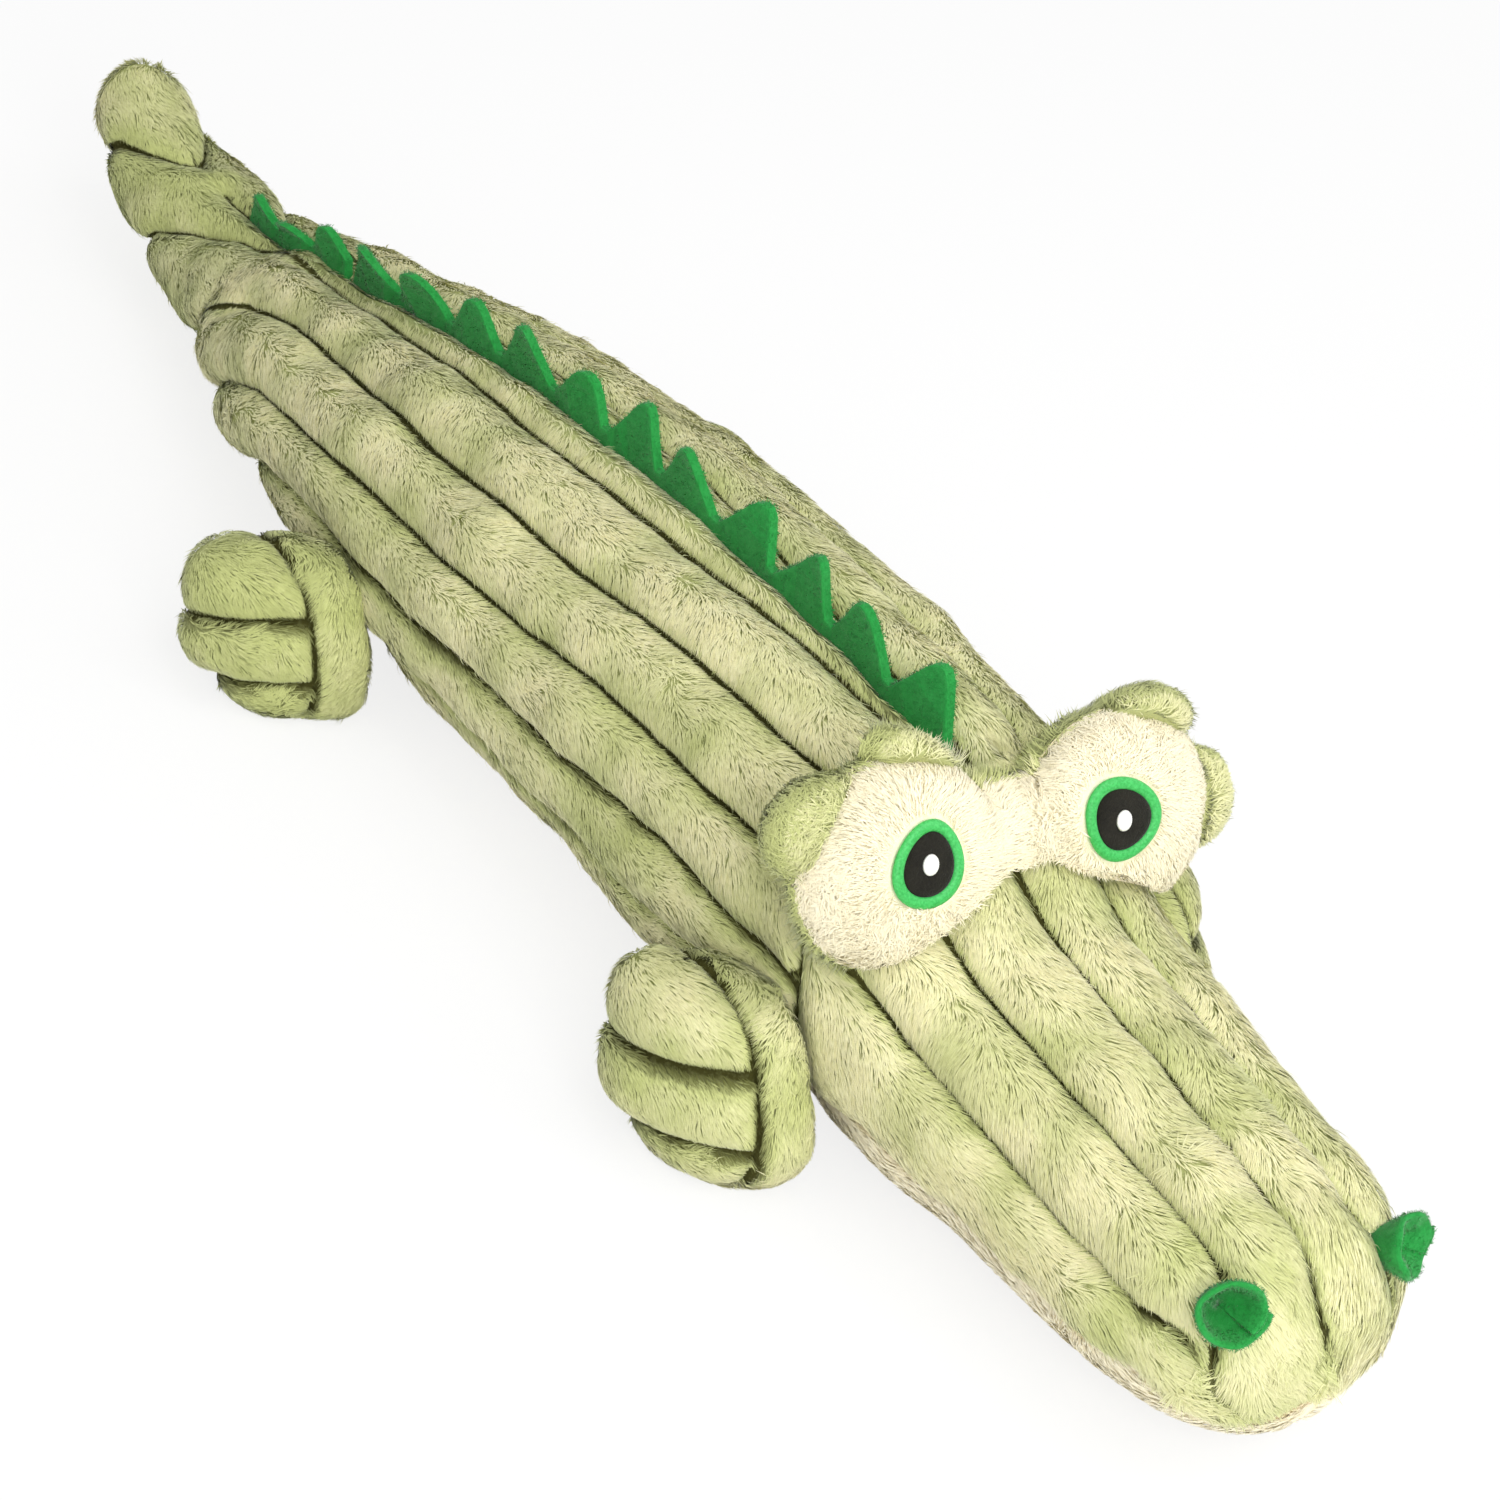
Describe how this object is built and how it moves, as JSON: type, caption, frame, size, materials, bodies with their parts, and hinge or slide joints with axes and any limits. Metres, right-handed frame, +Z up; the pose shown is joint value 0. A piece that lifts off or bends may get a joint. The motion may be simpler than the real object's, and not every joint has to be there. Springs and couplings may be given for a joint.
{
  "type": "plush dog toy",
  "caption": "Long low stuffed crocodile dog toy: quilted green plush, cream underside, felt back spikes, standing eye pillow, squeakers inside, hinged neck, tail, eyes and legs.",
  "frame": {"origin": "on the floor plane under the middle of the toy's bounds", "axes": "+Z up, the snout points to -Y and the tail to +Y, the right flank is at -X"},
  "size_m": [0.201, 0.674, 0.1272],
  "materials": {
    "wale_plush": "short dense green pile, quilted in wide wales",
    "cream_plush": "short dense cream pile",
    "green_felt": "matt pressed felt",
    "black_felt": "matt short nap",
    "eye_thread": "satin stitched rayon thread",
    "glint_thread": "satin stitched white thread",
    "fibre_fill": "loose polyester fibre",
    "squeaker_plastic": "moulded soft plastic"
  },
  "bodies": {
    "torso": {"torso_panel_right": "wale_plush", "torso_panel_left": "wale_plush", "belly_panel": "cream_plush", "torso_spike_strip": "green_felt", "torso_fill_lower": "fibre_fill", "torso_fill_upper": "fibre_fill", "torso_squeaker_bulb": "squeaker_plastic", "torso_squeaker_reed": "squeaker_plastic"},
    "head": {"head_panel_right": "wale_plush", "head_panel_left": "wale_plush", "chin_panel": "cream_plush", "nostril_cone_right": "green_felt", "nostril_cone_left": "green_felt", "head_fill_lower": "fibre_fill", "head_fill_upper": "fibre_fill", "head_squeaker_bulb": "squeaker_plastic", "head_squeaker_reed": "squeaker_plastic"},
    "eye_pillow": {"eye_pillow_front": "cream_plush", "eye_pillow_back": "wale_plush", "eye_pillow_fill": "fibre_fill", "eye_ring_right": "eye_thread", "eye_ring_left": "eye_thread", "pupil_right": "black_felt", "pupil_left": "black_felt", "eye_glint_right": "glint_thread", "eye_glint_left": "glint_thread"},
    "tail": {"tail_panel_right": "wale_plush", "tail_panel_left": "wale_plush", "tail_spike_strip": "green_felt", "tail_fill": "fibre_fill"},
    "front_leg_right": {"front_leg_right_outer_panel": "wale_plush", "front_leg_right_inner_panel": "wale_plush", "front_leg_right_fill": "fibre_fill"},
    "front_leg_left": {"front_leg_left_outer_panel": "wale_plush", "front_leg_left_inner_panel": "wale_plush", "front_leg_left_fill": "fibre_fill"},
    "rear_leg_right": {"rear_leg_right_outer_panel": "wale_plush", "rear_leg_right_inner_panel": "wale_plush", "rear_leg_right_fill": "fibre_fill"},
    "rear_leg_left": {"rear_leg_left_outer_panel": "wale_plush", "rear_leg_left_inner_panel": "wale_plush", "rear_leg_left_fill": "fibre_fill"}
  },
  "joints": [
    {"name": "neck_nod", "type": "hinge", "parent": "torso", "child": "head", "pos_m": [0.00849, -0.205, 0.045], "axis": [-1, 0, 0], "range_deg": [0, 12], "stiffness_Nm_per_rad": 0.6},
    {"name": "tail_swing", "type": "hinge", "parent": "torso", "child": "tail", "pos_m": [0.00849, 0.215, 0.03], "axis": [0, 0, 1], "range_deg": [-25, 25], "stiffness_Nm_per_rad": 0.3},
    {"name": "eye_pillow_tilt", "type": "hinge", "parent": "torso", "child": "eye_pillow", "pos_m": [0.00849, -0.163, 0.098], "axis": [-1, 0, 0], "range_deg": [0, 10], "stiffness_Nm_per_rad": 0.1},
    {"name": "front_leg_right_lift", "type": "hinge", "parent": "torso", "child": "front_leg_right", "pos_m": [-0.05441, -0.157, 0.054], "axis": [0, 1, 0], "range_deg": [0, 70], "stiffness_Nm_per_rad": 0.05},
    {"name": "front_leg_left_lift", "type": "hinge", "parent": "torso", "child": "front_leg_left", "pos_m": [0.07139, -0.157, 0.054], "axis": [0, -1, 0], "range_deg": [0, 70], "stiffness_Nm_per_rad": 0.05},
    {"name": "rear_leg_right_lift", "type": "hinge", "parent": "torso", "child": "rear_leg_right", "pos_m": [-0.05981, 0.07, 0.046], "axis": [0, 1, 0], "range_deg": [0, 70], "stiffness_Nm_per_rad": 0.05},
    {"name": "rear_leg_left_lift", "type": "hinge", "parent": "torso", "child": "rear_leg_left", "pos_m": [0.07679, 0.07, 0.046], "axis": [0, -1, 0], "range_deg": [0, 70], "stiffness_Nm_per_rad": 0.05}
  ]
}
